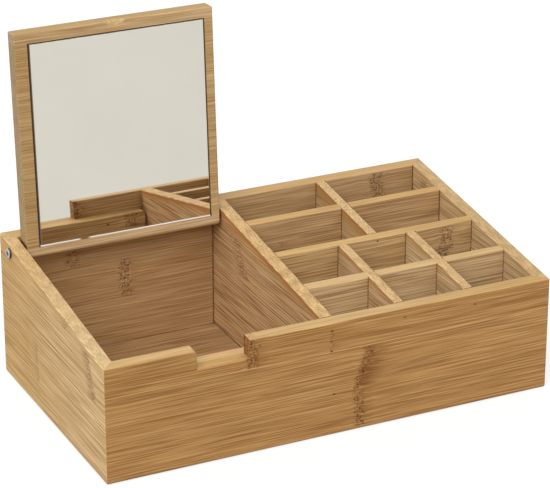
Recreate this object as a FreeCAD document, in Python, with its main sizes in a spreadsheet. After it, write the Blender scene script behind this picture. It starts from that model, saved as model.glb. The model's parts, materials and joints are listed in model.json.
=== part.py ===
import FreeCAD, Part
import os
import re
import Sketcher

# Desk organizer of bamboo boards: a mirror lid over the left bay, a divided tray on the right.
# Lengths are millimetres, angles degrees. The origin is under the middle of the box on the table,
# +Z is up and the front board faces -Y.

sizes = [
    ("box_width", 280, "outside width, left to right"),
    ("box_depth", 160, "outside depth, front to back"),
    ("front_height", 70, "height of the front face"),
    ("back_height", 90, "height of the back face"),
    ("wall", 8, "thickness of the four outer boards"),
    ("eased_edge", 0.8, "rounding of the rim and of the outer upright edges"),
    ("bottom_round", 1.8, "rounding of the outer bottom edges"),
    ("base_thickness", 4, "thickness of the floor"),
    ("base_raise", 3.5, "floor's underside above the table"),
    ("groove_depth", 3, "depth of the groove that holds the floor"),
    ("groove_slack", 0.2, "room between the floor's edge and the groove"),
    ("bay_width", 126, "inside width of the lid bay"),
    ("partition", 8, "thickness of the board between bay and tray"),
    ("divider", 6, "thickness of the tray's dividers"),
    ("divider_ease", 0.5, "rounding of the dividers' top edges"),
    ("back_row", 28.8, "inside depth of the tray's back row, which takes the right hinge screw's head"),
    ("second_row", 33.8, "inside depth of the row in front of it"),
    ("third_row", 32.4, "inside depth of the next row; the front row is what is left"),
    ("lap_share", 0.5, "part of the dividers' height that lies below their half laps"),
    ("notch_width", 32, "width of the finger notch"),
    ("notch_depth", 11, "depth of the finger notch, and of the strip's top, below the front face's top"),
    ("notch_round", 2, "rounding of the notch's left top corner"),
    ("strip_thickness", 7.5, "thickness of the strip that the closed lid rests on"),
    ("strip_height", 20, "height of that strip"),
    ("strip_gap", 1, "gap between the strip's end and the partition"),
    ("strip_round", 1.5, "rounding of the strip's free top corner"),
    ("pivot_inset", 9, "hinge axis in front of the back board's inner face"),
    ("pivot_drop", 4.475, "hinge axis below the rim"),
    ("lid_lean_angle", 3.5, "angle of the open lid behind upright, in degrees"),
    ("lid_thickness", 10, "thickness of the lid"),
    ("lid_room", 4, "room between the lid's free edge and the front board"),
    ("lid_left_gap", 0.8, "gap between the lid and the left board"),
    ("lid_right_gap", 1.8, "gap between the lid and the partition"),
    ("lid_foot", 4.4, "hinge axis to the lid's lower edge"),
    ("lid_foot_round", 2.5, "rounding of the lid's lower edge"),
    ("lid_corner", 1.1, "rounding of the lid's two free corners"),
    ("lid_ease", 0.8, "rounding of the lid's other edges"),
    ("scoop_width", 14, "width of the finger scoop along the free edge"),
    ("scoop_drop", 2.5, "how far the scoop reaches down the mirror face"),
    ("scoop_depth", 4, "how far the scoop reaches into the free edge"),
    ("mirror_left_margin", 9, "lid's left side to the glass"),
    ("mirror_right_margin", 6, "lid's right side to the glass"),
    ("mirror_foot", 1.9, "hinge axis to the glass's lower edge"),
    ("mirror_head", 7.1, "glass's upper edge to the lid's free edge"),
    ("mirror_thickness", 2, "thickness of the glass"),
    ("mirror_seam", 0.4, "ground edge of the glass"),
    ("mirror_sink", 0.1, "glass face below the lid's face"),
    ("mirror_left_gap", 1.2, "gap on the left of the glass"),
    ("mirror_right_gap", 0.6, "gap on the right of the glass"),
    ("mirror_foot_gap", 0.1, "gap under the glass"),
    ("mirror_top_gap", 0.8, "gap above the glass"),
    ("tape_thickness", 0.9, "thickness of the tape behind the glass"),
    ("tape_width", 14, "width of one strip of tape"),
    ("tape_inset", 8, "glass's side to the ends of the tape"),
    ("shank_diameter", 3.5, "diameter of the hinge screws"),
    ("head_diameter", 6.2, "diameter of their heads"),
    ("head_height", 1.4, "height of their heads"),
    ("head_round", 0.6, "rounding of their heads"),
    ("head_gap", 0.2, "gap between a head and its board"),
    ("screw_bite", 15, "length of screw inside the lid"),
    ("screw_point", 3, "length of the screw's point"),
    ("bore_clearance", 0.05, "radial clearance of a screw in its board"),
    ("grip_clearance", 0.02, "radial clearance of a screw in the lid"),
    ("pilot_spare", 1, "pilot hole beyond the screw's point"),
    ("cross_span", 3.6, "span of the cross recess in a head"),
    ("cross_width", 1, "width of its arms"),
    ("cross_depth", 0.8, "depth of the cross recess"),
]
tape_shares = (0.12, 0.5, 0.88)  # places of the tape strips along the glass
tolerance = 0.001  # how near an edge lies to the plane that it is picked by
half_turn = 180  # degrees

doc = FreeCAD.newDocument("makeup_organizer")
sheet = doc.addObject("Spreadsheet::Sheet", "Sizes")
for row, (alias, number, note) in enumerate(sizes, start=1):
    sheet.set(f"A{row}", note)
    sheet.set(f"B{row}", str(number))
    sheet.setAlias(f"B{row}", alias)
doc.recompute()
aliases = {alias for alias, number, note in sizes}


def cells(formula):
    return re.sub(r"[a-z_]+", lambda word: "Sizes." + word[0] if word[0] in aliases else word[0], formula)


def value(formula):
    return float(sheet.evalExpression(cells(formula)))


def rim(place):
    return f"(front_height + (back_height - front_height) * ({place}) / box_depth)"


# Places that several boards share, measured from the left side, the front face and the table.
floor_top = "(base_raise + base_thickness)"
bay_end = "(wall + bay_width)"
tray_start = "(wall + bay_width + partition)"
tray_width = "(box_width - 2 * wall - bay_width - partition)"
inner_back = "(box_depth - wall)"
notch_floor = "(front_height - notch_depth)"
pivot_setback = "(box_depth - wall - pivot_inset)"
pivot_height = f"({rim(pivot_setback)} - pivot_drop)"
back_cross = "(box_depth - wall - back_row - divider)"
middle_cross = "(box_depth - wall - back_row - second_row - 2 * divider)"
front_cross = "(box_depth - wall - back_row - second_row - third_row - 3 * divider)"
half_column = "((box_width - 2 * wall - bay_width - partition - divider) / 2)"
third_column = "((box_width - 2 * wall - bay_width - partition - 2 * divider) / 3)"
lid_start = "(wall + lid_left_gap)"
lid_width = "(bay_width - lid_left_gap - lid_right_gap)"
lid_reach = f"({pivot_setback} - wall - lid_room)"
mirror_start = "(wall + lid_left_gap + mirror_left_margin)"
mirror_width = f"({lid_width} - mirror_left_margin - mirror_right_margin)"
mirror_height = f"({lid_reach} - mirror_foot - mirror_head)"
recess_floor = "(lid_thickness / 2 - mirror_sink - mirror_thickness - tape_thickness)"


def new_body(label, across, setback="0", height="0"):
    body = doc.addObject("PartDesign::Body", label)
    body.Label = label
    body.setExpression("Placement.Base.x", cells(f"{across} - box_width / 2"))
    body.setExpression("Placement.Base.y", cells(f"{setback} - box_depth / 2"))
    body.setExpression("Placement.Base.z", cells(height))
    return body


def lean_with_lid(piece):
    # The lid's pieces are drawn upright about the hinge axis and lean back with the open lid.
    piece.Placement.Rotation = FreeCAD.Rotation(FreeCAD.Vector(-1, 0, 0), value("lid_lean_angle"))
    piece.setExpression("Placement.Rotation.Angle", cells("lid_lean_angle"))


def origin_feature(body, role):
    return next(item for item in body.Origin.OriginFeatures if item.Role == role)


def new_sketch(body, plane_role, offset):
    sketch = body.newObject("Sketcher::SketchObject", body.Label + "_sketch")
    sketch.AttachmentSupport = [(origin_feature(body, plane_role), "")]
    sketch.MapMode = "FlatFace"
    sketch.setExpression("AttachmentOffset.Base.z", cells(offset))
    return sketch


def fix_point(sketch, line, end, across, up):
    for direction, formula in (("DistanceX", across), ("DistanceY", up)):
        index = sketch.addConstraint(Sketcher.Constraint(direction, -1, 1, line, end, value(formula)))
        sketch.setExpression(f"Constraints[{index}]", cells(formula))


def draw_outline(body, plane_role, corners, offset="0"):
    sketch = new_sketch(body, plane_role, offset)
    points = [FreeCAD.Vector(value(across), value(up), 0) for across, up in corners]
    for start, end in zip(points, points[1:] + points[:1]):
        sketch.addGeometry(Part.LineSegment(start, end))
    for line, (across, up) in enumerate(corners):
        line_before = (line - 1) % len(corners)
        sketch.addConstraint(Sketcher.Constraint("Coincident", line_before, 2, line, 1))
        fix_point(sketch, line, 1, across, up)
    return sketch


def draw_rectangle(body, plane_role, low, high, offset="0"):
    corners = [low, (high[0], low[1]), high, (low[0], high[1])]
    return draw_outline(body, plane_role, corners, offset)


def draw_circle(body, across, up, diameter, offset="0"):
    sketch = new_sketch(body, "YZ_Plane", offset)
    centre = FreeCAD.Vector(value(across), value(up), 0)
    sketch.addGeometry(Part.Circle(centre, FreeCAD.Vector(0, 0, 1), value(diameter) / 2))
    fix_point(sketch, 0, 3, across, up)
    index = sketch.addConstraint(Sketcher.Constraint("Diameter", 0, value(diameter)))
    sketch.setExpression(f"Constraints[{index}]", cells(diameter))
    return sketch


def pad(body, sketch, length):
    feature = body.newObject("PartDesign::Pad", body.Label + "_pad")
    feature.Profile = sketch
    feature.setExpression("Length", cells(length))
    doc.recompute()
    return feature


def cut(body, sketch, depth=None, forward=True):
    before = body.Shape.Volume
    feature = body.newObject("PartDesign::Pocket", body.Label + "_cut")
    feature.Profile = sketch
    if depth is None:
        feature.Type = "ThroughAll"
        feature.SideType = "Symmetric"
    else:
        feature.setExpression("Length", cells(depth))
        feature.Reversed = forward
    doc.recompute()
    if not body.Shape.Volume < before:
        raise RuntimeError("a cut in " + body.Label + " removed nothing")
    return feature


def on_plane(low, high, formula):
    place = value(formula)
    return abs(low - place) < tolerance and abs(high - place) < tolerance


def round_edges(body, radius, chosen):
    base = body.Tip
    names = [f"Edge{n}" for n, edge in enumerate(base.Shape.Edges, start=1) if chosen(edge.BoundBox)]
    if not names:
        raise RuntimeError("no edge to round on " + body.Label)
    feature = body.newObject("PartDesign::Fillet", body.Label + "_round")
    feature.Base = (base, names)
    feature.setExpression("Radius", cells(radius))
    doc.recompute()
    return feature


def is_low(box):
    return box.ZMax < value("bottom_round") + tolerance


def is_rim_edge(box, place):
    return on_plane(box.YMin, box.YMax, place) and on_plane(box.ZMin, box.ZMax, rim(place))


# Front and back boards: a section with the bevelled top and the floor's groove, mitred at both ends.
def cross_wall(label, outer, inner, groove_end):
    body = new_body(label, "0")
    corners = [(outer, "0"), (inner, "0"), (inner, "base_raise"), (groove_end, "base_raise"),
               (groove_end, floor_top), (inner, floor_top), (inner, rim(inner)), (outer, rim(outer))]
    pad(body, draw_outline(body, "YZ_Plane", corners), "box_width")
    return body


def ease_cross_wall(body, outer, inner):
    def is_outside(box):
        return on_plane(box.YMin, box.YMax, outer)

    round_edges(body, "bottom_round", lambda box: is_outside(box) and is_low(box))
    round_edges(body, "eased_edge",
                lambda box: is_outside(box) and not is_low(box) or is_rim_edge(box, inner))


def mitre_cross_wall(body, outer, inner):
    for tip, heel in (("0", "wall"), ("box_width", "box_width - wall")):
        cut(body, draw_outline(body, "XY_Plane", [(tip, outer), (heel, inner), (tip, inner)]))


front_panel = cross_wall("front_panel", "0", "wall", "(wall - groove_depth)")
notch_start = "(wall + (bay_width - notch_width) / 2)"
notch_end = "(wall + (bay_width + notch_width) / 2)"
notch_high = (notch_end, "back_height")
cut(front_panel, draw_rectangle(front_panel, "XZ_Plane", (notch_start, notch_floor), notch_high))


def is_notch_corner(box):
    return on_plane(box.XMin, box.XMax, notch_start) and box.ZMin > value(notch_floor) + tolerance


round_edges(front_panel, "notch_round", is_notch_corner)
ease_cross_wall(front_panel, "0", "wall")
mitre_cross_wall(front_panel, "0", "wall")

back_panel = cross_wall("back_panel", "box_depth", inner_back, "(box_depth - wall + groove_depth)")
ease_cross_wall(back_panel, "box_depth", inner_back)
mitre_cross_wall(back_panel, "box_depth", inner_back)


# Side boards: the tapered side of the box, grooved for the floor and mitred to the front and back.
def side_wall(label, across, outer, inner, groove_end):
    body = new_body(label, across)
    corners = [("0", "0"), ("box_depth", "0"), ("box_depth", "back_height"), ("0", "front_height")]
    pad(body, draw_outline(body, "YZ_Plane", corners), "wall")

    def is_outside(box):
        return on_plane(box.XMin, box.XMax, outer)

    def is_inner_rim(box):
        high = box.ZMin > value("front_height") - tolerance and box.YLength > value("wall")
        return high and on_plane(box.XMin, box.XMax, inner)

    round_edges(body, "bottom_round", lambda box: is_outside(box) and is_low(box))
    round_edges(body, "eased_edge",
                lambda box: is_outside(box) and not is_low(box) or is_inner_rim(box))
    low_x, high_x = sorted((inner, groove_end), key=value)
    cut(body, draw_rectangle(body, "XZ_Plane", (low_x, "base_raise"), (high_x, floor_top)))
    for tip, heel in (("0", "wall"), ("box_depth", inner_back)):
        cut(body, draw_outline(body, "XY_Plane", [(outer, tip), (inner, tip), (inner, heel)]))
    return body


def bore_for_screw(body):
    cut(body, draw_circle(body, pivot_setback, pivot_height, "(shank_diameter + 2 * bore_clearance)"))


left_side = side_wall("left_side_panel", "0", "0", "wall", "(wall - groove_depth)")
bore_for_screw(left_side)
right_side = side_wall("right_side_panel", "(box_width - wall)", "wall", "0", "groove_depth")

# The floor lies in the grooves of all four boards.
groove_reach = "(wall - groove_depth + groove_slack)"
base_panel = new_body("base_panel", groove_reach)
base_outline = draw_rectangle(base_panel, "YZ_Plane", (groove_reach, "base_raise"),
                              (f"(box_depth - {groove_reach})", floor_top))
pad(base_panel, base_outline, f"(box_width - 2 * {groove_reach})")


# Boards that stand on the floor between front and back, cut to the slope of the rim.
def standing_board(label, across, front, back, thickness, ease, lap=None):
    body = new_body(label, across)
    corners = [(front, floor_top)]
    if lap:
        lap_top = lap_height(lap)
        lap_end = f"({lap} + divider)"
        corners += [(lap, floor_top), (lap, lap_top), (lap_end, lap_top), (lap_end, floor_top)]
    corners += [(back, floor_top), (back, rim(back)), (front, rim(front))]
    pad(body, draw_outline(body, "YZ_Plane", corners), thickness)

    def is_top_edge(box):
        return box.ZMin > value(rim(front)) - tolerance and box.YLength > value(thickness)

    round_edges(body, ease, is_top_edge)
    return body


def lap_height(cross):
    return f"({floor_top} + lap_share * ({rim(cross)} - {floor_top}))"


mid_partition = standing_board("mid_partition", bay_end, "wall", inner_back, "partition", "eased_edge")
bore_for_screw(mid_partition)


# Cross dividers: slotted from above where a long divider passes over them.
def cross_divider(label, front, slots):
    back = f"({front} + divider)"
    body = new_body(label, tray_start)
    corners = [(front, floor_top), (back, floor_top), (back, rim(back)), (front, rim(front))]
    pad(body, draw_outline(body, "YZ_Plane", corners), tray_width)
    round_edges(body, "divider_ease", lambda box: is_rim_edge(box, front) or is_rim_edge(box, back))
    for slot in slots:
        low = (slot, lap_height(front))
        high = (f"({slot} + divider)", "back_height")
        cut(body, draw_rectangle(body, "XZ_Plane", low, high))
    return body


second_column = f"(2 * {third_column} + divider)"
cross_divider("cross_divider_back", back_cross, [half_column])
cross_divider("cross_divider_middle", middle_cross, [])
cross_divider("cross_divider_front", front_cross, [third_column, second_column])

# Long dividers: slotted from below, so that their tops run on over the cross dividers.
long_dividers = [
    ("long_divider_back", half_column, f"({middle_cross} + divider)", inner_back, back_cross),
    ("long_divider_front_left", third_column, "wall", middle_cross, front_cross),
    ("long_divider_front_right", second_column, "wall", middle_cross, front_cross),
]
for label, column, front, back, lap in long_dividers:
    standing_board(label, f"({tray_start} + {column})", front, back, "divider", "divider_ease", lap)

# The strip behind the front board that carries the free edge of the closed lid.
strip = new_body("lid_rest_strip", "wall")
strip_back = "(wall + strip_thickness)"
strip_length = "(bay_width - strip_gap)"
strip_low = ("wall", f"({notch_floor} - strip_height)")
pad(strip, draw_rectangle(strip, "YZ_Plane", strip_low, (strip_back, notch_floor)), strip_length)


def is_free_end(box):
    return on_plane(box.XMin, box.XMax, strip_length) and on_plane(box.ZMin, box.ZMax, notch_floor)


def is_strip_edge(box):
    high = box.ZMin > value(f"{notch_floor} - strip_round") - tolerance
    return high and on_plane(box.YMin, box.YMax, strip_back)


round_edges(strip, "strip_round", is_free_end)
round_edges(strip, "divider_ease", is_strip_edge)

# The lid: one board with a rounded foot at the hinge, turned about the two screws.
half_lid = "(lid_thickness / 2)"
lid = new_body("lid_panel", lid_start, pivot_setback, pivot_height)
lean_with_lid(lid)
lid_low = (f"(-{half_lid})", "(-lid_foot)")
pad(lid, draw_rectangle(lid, "YZ_Plane", lid_low, (half_lid, lid_reach)), lid_width)


def is_foot_edge(box):
    return on_plane(box.ZMin, box.ZMax, "-lid_foot") and box.XLength > value("lid_thickness")


def is_free_corner(box):
    beside = on_plane(box.XMin, box.XMax, "0") or on_plane(box.XMin, box.XMax, lid_width)
    return beside and on_plane(box.ZMin, box.ZMax, lid_reach)


def is_lid_outline(box):
    beside = on_plane(box.XMin, box.XMax, "0") or on_plane(box.XMin, box.XMax, lid_width)
    on_face = on_plane(box.YMin, box.YMax, f"(-{half_lid})") or on_plane(box.YMin, box.YMax, half_lid)
    return on_face and (beside or box.ZMin > value(f"{lid_reach} - lid_corner") - tolerance)


round_edges(lid, "lid_foot_round", is_foot_edge)
round_edges(lid, "lid_corner", is_free_corner)
round_edges(lid, "lid_ease", is_lid_outline)

recess_low = ("(mirror_left_margin - mirror_left_gap)", "(mirror_foot - mirror_foot_gap)")
recess_high = (f"({lid_width} - mirror_right_margin + mirror_right_gap)",
               f"({lid_reach} - mirror_head + mirror_top_gap)")
cut(lid, draw_rectangle(lid, "XZ_Plane", recess_low, recess_high, recess_floor), half_lid)

pilot_diameter = "(shank_diameter + 2 * grip_clearance)"
pilot_depth = "(screw_bite + pilot_spare)"
cut(lid, draw_circle(lid, "0", "0", pilot_diameter), pilot_depth)
cut(lid, draw_circle(lid, "0", "0", pilot_diameter, lid_width), pilot_depth, forward=False)

# The scoop is a ball's cut whose rim passes through the same two points of the free edge on both faces.
down_radius = "((scoop_width ^ 2 / 4 + scoop_drop ^ 2) / (2 * scoop_drop))"
deep_radius = "((scoop_width ^ 2 / 4 + scoop_depth ^ 2) / (2 * scoop_depth))"
scoop = lid.newObject("PartDesign::SubtractiveSphere", "lid_scoop")
scoop.setExpression("Radius", cells(f"sqrt({down_radius} ^ 2 + ({deep_radius} - scoop_depth) ^ 2)"))
scoop.setExpression("Placement.Base.x", cells(f"{lid_width} / 2"))
scoop.setExpression("Placement.Base.y", cells(f"-{half_lid} - {deep_radius} + scoop_depth"))
scoop.setExpression("Placement.Base.z", cells(f"{lid_reach} + {down_radius} - scoop_drop"))
doc.recompute()

# The glass stands on the recess's lower shoulder and is held by the tape behind it.
mirror_back = "(lid_thickness / 2 - mirror_sink - mirror_thickness)"
mirror = new_body("lid_mirror", mirror_start, pivot_setback, pivot_height)
lean_with_lid(mirror)
mirror_outline = draw_rectangle(mirror, "XZ_Plane", ("0", "mirror_foot"),
                                (mirror_width, f"({lid_reach} - mirror_head)"), mirror_back)
plate = pad(mirror, mirror_outline, "mirror_thickness")
mirror_face = "(mirror_sink - lid_thickness / 2)"
face_edges = [f"Edge{n}" for n, edge in enumerate(plate.Shape.Edges, start=1)
              if on_plane(edge.BoundBox.YMin, edge.BoundBox.YMax, mirror_face)]
seam = mirror.newObject("PartDesign::Chamfer", "mirror_seam")
seam.Base = (plate, face_edges)
seam.setExpression("Size", cells("mirror_seam"))
doc.recompute()

strips = []
for share in tape_shares:
    tape = doc.addObject("Part::Box", "tape_strip")
    tape.setExpression("Length", cells(f"{mirror_width} - 2 * tape_inset"))
    tape.setExpression("Width", cells("tape_thickness"))
    tape.setExpression("Height", cells("tape_width"))
    tape.setExpression("Placement.Base.x", cells("tape_inset"))
    tape.setExpression("Placement.Base.y", cells(f"-{mirror_back}"))
    tape_foot = f"mirror_foot + {share} * {mirror_height} - tape_width / 2"
    tape.setExpression("Placement.Base.z", cells(tape_foot))
    strips.append(tape)
tape_group = doc.addObject("Part::Compound", "mirror_tape")
tape_group.Label = "mirror_tape"
tape_group.Links = strips
tape_group.setExpression("Placement.Base.x", cells(f"{mirror_start} - box_width / 2"))
tape_group.setExpression("Placement.Base.y", cells(f"{pivot_setback} - box_depth / 2"))
tape_group.setExpression("Placement.Base.z", cells(pivot_height))
lean_with_lid(tape_group)


# Hinge screws: a turned pan head and shank along +X from the head's seat, with a cross recess.
def hinge_screw(label, seat, board, gap):
    body = new_body(label, seat, pivot_setback, pivot_height)
    shank = "(shank_diameter / 2)"
    head = "(head_diameter / 2)"
    length = f"(head_gap + {board} + {gap} + screw_bite)"
    corners = [("(-head_height)", "0"), (length, "0"), (f"({length} - screw_point)", shank), ("0", shank),
               ("0", head), ("(-head_height)", head)]
    turned = body.newObject("PartDesign::Revolution", label + "_turned")
    turned.Profile = draw_outline(body, "XY_Plane", corners)
    turned.ReferenceAxis = (origin_feature(body, "X_Axis"), [""])
    doc.recompute()
    round_edges(body, "head_round",
                lambda box: on_plane(box.XMin, box.XMax, "-head_height") and box.YLength > value(head))
    arm = "(cross_width / 2)"
    tip = "(cross_span / 2)"
    minus_arm = f"(-{arm})"
    minus_tip = f"(-{tip})"
    cross = [(tip, minus_arm), (tip, arm), (arm, arm), (arm, tip), (minus_arm, tip), (minus_arm, arm),
             (minus_tip, arm), (minus_tip, minus_arm), (minus_arm, minus_arm), (minus_arm, minus_tip),
             (arm, minus_tip), (arm, minus_arm)]
    cut(body, draw_outline(body, "YZ_Plane", cross, "-head_height"), "cross_depth")
    return body


hinge_screw("hinge_screw_left", "(-head_gap)", "wall", "lid_left_gap")
right_seat = f"({tray_start} + head_gap)"
right_screw = hinge_screw("hinge_screw_right", right_seat, "partition", "lid_right_gap")
right_screw.Placement.Rotation = FreeCAD.Rotation(FreeCAD.Vector(0, 0, 1), half_turn)
doc.recompute()

failed = [item.Label for item in doc.Objects if "Invalid" in item.State or "Error" in item.State]
if failed:
    raise RuntimeError("failed: " + ", ".join(failed))
pieces = [item for item in doc.Objects if item.TypeId in ("PartDesign::Body", "Part::Compound")]
for piece in pieces:
    if piece.Shape.isNull() or not piece.Shape.isValid():
        raise RuntimeError("no sound shape: " + piece.Label)
os.makedirs("parts", exist_ok=True)
for piece in pieces:
    piece.Shape.exportStep(f"parts/{piece.Label}.step")
    print(piece.Label, len(piece.Shape.Solids), "solid", round(piece.Shape.Volume), "mm3")
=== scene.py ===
import bpy
import json
import math
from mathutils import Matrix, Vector

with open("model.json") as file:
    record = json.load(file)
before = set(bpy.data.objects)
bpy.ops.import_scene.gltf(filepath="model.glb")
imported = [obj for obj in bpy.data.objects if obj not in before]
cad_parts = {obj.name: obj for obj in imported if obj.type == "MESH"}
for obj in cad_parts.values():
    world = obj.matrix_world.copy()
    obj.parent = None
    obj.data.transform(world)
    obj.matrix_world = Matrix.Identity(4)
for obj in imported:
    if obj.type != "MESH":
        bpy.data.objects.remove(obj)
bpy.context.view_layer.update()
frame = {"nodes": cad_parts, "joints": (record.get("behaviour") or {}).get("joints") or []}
mm = 0.001
print("organizer loaded:", len(frame["nodes"]), "pieces")


# how far a piece reaches along an axis, in mm
def reach(nodeName, axis):
    places = [corner["XYZ".index(axis)] / mm for corner in frame["nodes"][nodeName].bound_box]
    return min(places), max(places)


# sizes of the box in mm that the finishes are laid out by
box = {
    "frontHeight": 70.0,
    "backHeight": 90.0,
    "depth": reach("back_panel", "Y")[1] - reach("front_panel", "Y")[0],
    "floorTop": reach("base_panel", "Z")[1],
    "bayEnd": reach("mid_partition", "X")[0],
    "trayStart": reach("mid_partition", "X")[1],
    "rightWall": reach("right_side_panel", "X")[0],
    "backLong": reach("long_divider_back", "X"),  # both faces of each long divider
    "frontLongs": reach("long_divider_front_left", "X") + reach("long_divider_front_right", "X"),
}


# small helpers to wire up a material

def addNode(tree, kind, **settings):
    node = tree.nodes.new(kind)
    for name, setting in settings.items():
        setattr(node, name, setting)
    return node


def plug(tree, socket, source):
    if isinstance(source, bpy.types.NodeSocket):
        tree.links.new(source, socket)
    else:
        socket.default_value = source


def calc(tree, operation, *sources, clamp=False):
    node = addNode(tree, "ShaderNodeMath", operation=operation, use_clamp=clamp)
    for socket, source in zip(node.inputs, sources):
        plug(tree, socket, source)
    return node.outputs[0]


def add(tree, a, b):
    return calc(tree, "ADD", a, b)


def times(tree, a, *factors):
    for factor in factors:
        a = calc(tree, "MULTIPLY", a, factor)
    return a


def most(tree, sources):
    result = sources[0]
    for source in sources[1:]:
        result = calc(tree, "MAXIMUM", result, source)
    return result


# how far a value lies from a place
def apart(tree, source, place):
    return calc(tree, "ABSOLUTE", add(tree, source, -place))


# 0 to 1 between two places, soft at both ends; runs down where low is above high
def fade(tree, source, low, high):
    node = addNode(tree, "ShaderNodeMapRange", interpolation_type="SMOOTHSTEP")
    rising = low < high
    plug(tree, node.inputs["Value"], source)
    node.inputs["From Min"].default_value = low if rising else high
    node.inputs["From Max"].default_value = high if rising else low
    node.inputs["To Min"].default_value = 0.0 if rising else 1.0
    node.inputs["To Max"].default_value = 1.0 if rising else 0.0
    return node.outputs["Result"]


def mixColour(tree, amount, a, b, blend="MIX"):
    node = addNode(tree, "ShaderNodeMix", data_type="RGBA", blend_type=blend)
    plug(tree, node.inputs[0], amount)
    plug(tree, node.inputs[6], a)
    plug(tree, node.inputs[7], b)
    return node.outputs[2]


# the colour times a tint, where the mask is 1
def tinted(tree, mask, colour, tint):
    return mixColour(tree, mask, colour, mixColour(tree, 1.0, colour, tint, "MULTIPLY"))


def joined(tree, *parts):
    node = addNode(tree, "ShaderNodeCombineXYZ")
    for socket, part in zip(node.inputs, parts):
        plug(tree, socket, part)
    return node.outputs[0]


def vectorCalc(tree, operation, a, b=None):
    node = addNode(tree, "ShaderNodeVectorMath", operation=operation)
    plug(tree, node.inputs[0], a)
    if b is not None:
        plug(tree, node.inputs[1], b)
    return node.outputs["Value"]


# each seed draws a texture from another place
seedSteps = (3.7, 1.9, 5.3)


def stretched(tree, spot, sizes, seed):
    node = addNode(tree, "ShaderNodeVectorMath", operation="MULTIPLY_ADD")
    plug(tree, node.inputs[0], spot)
    node.inputs[1].default_value = [1.0 / size for size in sizes]
    node.inputs[2].default_value = [seed * step for step in seedSteps]
    return node.outputs[0]


# noise about 0, drawn out to the given sizes in mm
def grainNoise(tree, spot, sizes, seed, detail=2.0):
    node = addNode(tree, "ShaderNodeTexNoise")
    plug(tree, node.inputs["Vector"], stretched(tree, spot, sizes, seed))
    node.inputs["Scale"].default_value = 1.0
    node.inputs["Detail"].default_value = detail
    return calc(tree, "SUBTRACT", node.outputs[0], 0.5)


# round spots, and a number from 0 to 1 for each to pick some of them by
def spots(tree, spot, sizes, seed, radius):
    spotCore = 0.45
    node = addNode(tree, "ShaderNodeTexVoronoi")
    plug(tree, node.inputs["Vector"], stretched(tree, spot, sizes, seed))
    node.inputs["Scale"].default_value = 1.0
    split = addNode(tree, "ShaderNodeSeparateColor")
    tree.links.new(node.outputs["Color"], split.inputs[0])
    return fade(tree, node.outputs["Distance"], radius, radius * spotCore), split.outputs[0]


def newFinish(name):
    finish = bpy.data.materials.new(name)
    finish.use_nodes = True
    finish.node_tree.nodes.clear()
    tree = finish.node_tree
    output = addNode(tree, "ShaderNodeOutputMaterial")
    shader = addNode(tree, "ShaderNodeBsdfPrincipled")
    tree.links.new(shader.outputs[0], output.inputs["Surface"])
    where = addNode(tree, "ShaderNodeTexCoord")
    scale = addNode(tree, "ShaderNodeVectorMath", operation="SCALE")
    tree.links.new(where.outputs["Object"], scale.inputs[0])
    scale.inputs["Scale"].default_value = 1 / mm
    axes = addNode(tree, "ShaderNodeSeparateXYZ")
    tree.links.new(scale.outputs[0], axes.inputs[0])
    facing = addNode(tree, "ShaderNodeSeparateXYZ")
    tree.links.new(where.outputs["Normal"], facing.inputs[0])
    place = dict(zip("XYZ", axes.outputs), all=scale.outputs[0])
    return finish, tree, shader, place, dict(zip("XYZ", facing.outputs))


def addBump(tree, shader, height, strength, depth):
    bump = addNode(tree, "ShaderNodeBump")
    bump.inputs["Strength"].default_value = strength
    bump.inputs["Distance"].default_value = depth * mm
    plug(tree, bump.inputs["Height"], height)
    tree.links.new(bump.outputs[0], shader.inputs["Normal"])


def dress(nodeName, finish):
    piece = frame["nodes"][nodeName]
    piece.data.materials.clear()
    piece.data.materials.append(finish)


# how far a place lies below the box's sloping rim
def belowRim(tree, place):
    slope = (box["backHeight"] - box["frontHeight"]) / box["depth"]
    middle = (box["frontHeight"] + box["backHeight"]) / 2
    return calc(tree, "SUBTRACT", add(tree, times(tree, place["Y"], slope), middle), place["Z"])


# the finish that all the boards share: colours first
bamboo = {
    "dark": (0.330, 0.155, 0.042, 1),
    "pale": (0.590, 0.345, 0.142, 1),
    "line": (0.180, 0.075, 0.020, 1),  # dark fibre bundles
    "dot": (0.110, 0.042, 0.014, 1),  # pits in a knot
    "smear": (0.225, 0.088, 0.025, 1),  # brown beside a knot
    "fleck": (0.700, 0.470, 0.210, 1),  # pale fibres torn out at a knot or a cut
    "fibre": (0.640, 0.430, 0.215, 1),  # pale fibre bundles
    "rust": (0.420, 0.170, 0.040, 1),  # band under a sloping rim
    "rustEdge": (0.300, 0.105, 0.022, 1),  # the band's upper edge
    "glueAndShade": (0.085, 0.036, 0.015, 1),  # glue and painted shade in a joint, and painted shade in the lid's gap
}

# noise on a board: its size along, across and into the wood in mm, what it adds to the seed, its detail
layers = {
    "sway": (80, 22, 22, 0, 2.0),
    "knotBend": (9, 5, 5, 2, 2.0),
    "glue": (45, 60, 60, 3, 1.0),
    "broad": (110, 6, 6, 4, 2.0),
    "streak": (62, 1.0, 1.0, 5, 1.0),
    "fine": (30, 0.45, 0.45, 6, 1.0),
    "bundle": (46, 0.65, 0.65, 7, 0.0),
    "crowd": (90, 6, 6, 8, 1.0),
    "speck": (0.95, 0.60, 0.60, 9, 1.0),
    "band": (40, 8, 8, 10, 2.0),
    "knotPatch": (4, 1.8, 1.8, 11, 2.0),
    "joint": (3, 3, 3, 14, 2.0),
    "knotTail": (18, 1.1, 1.1, 15, 2.0),
    "paleBundle": (34, 0.5, 0.5, 16, 0.0),
    "blot": (2.6, 1.2, 2.6, 17, 2.0),
    "speckPatch": (16, 5, 5, 18, 2.0),
    "ribJitter": (75, 3.5, 3.5, 19, 1.0),
    "ribPatch": (55, 5, 5, 20, 1.0),
}

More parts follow.
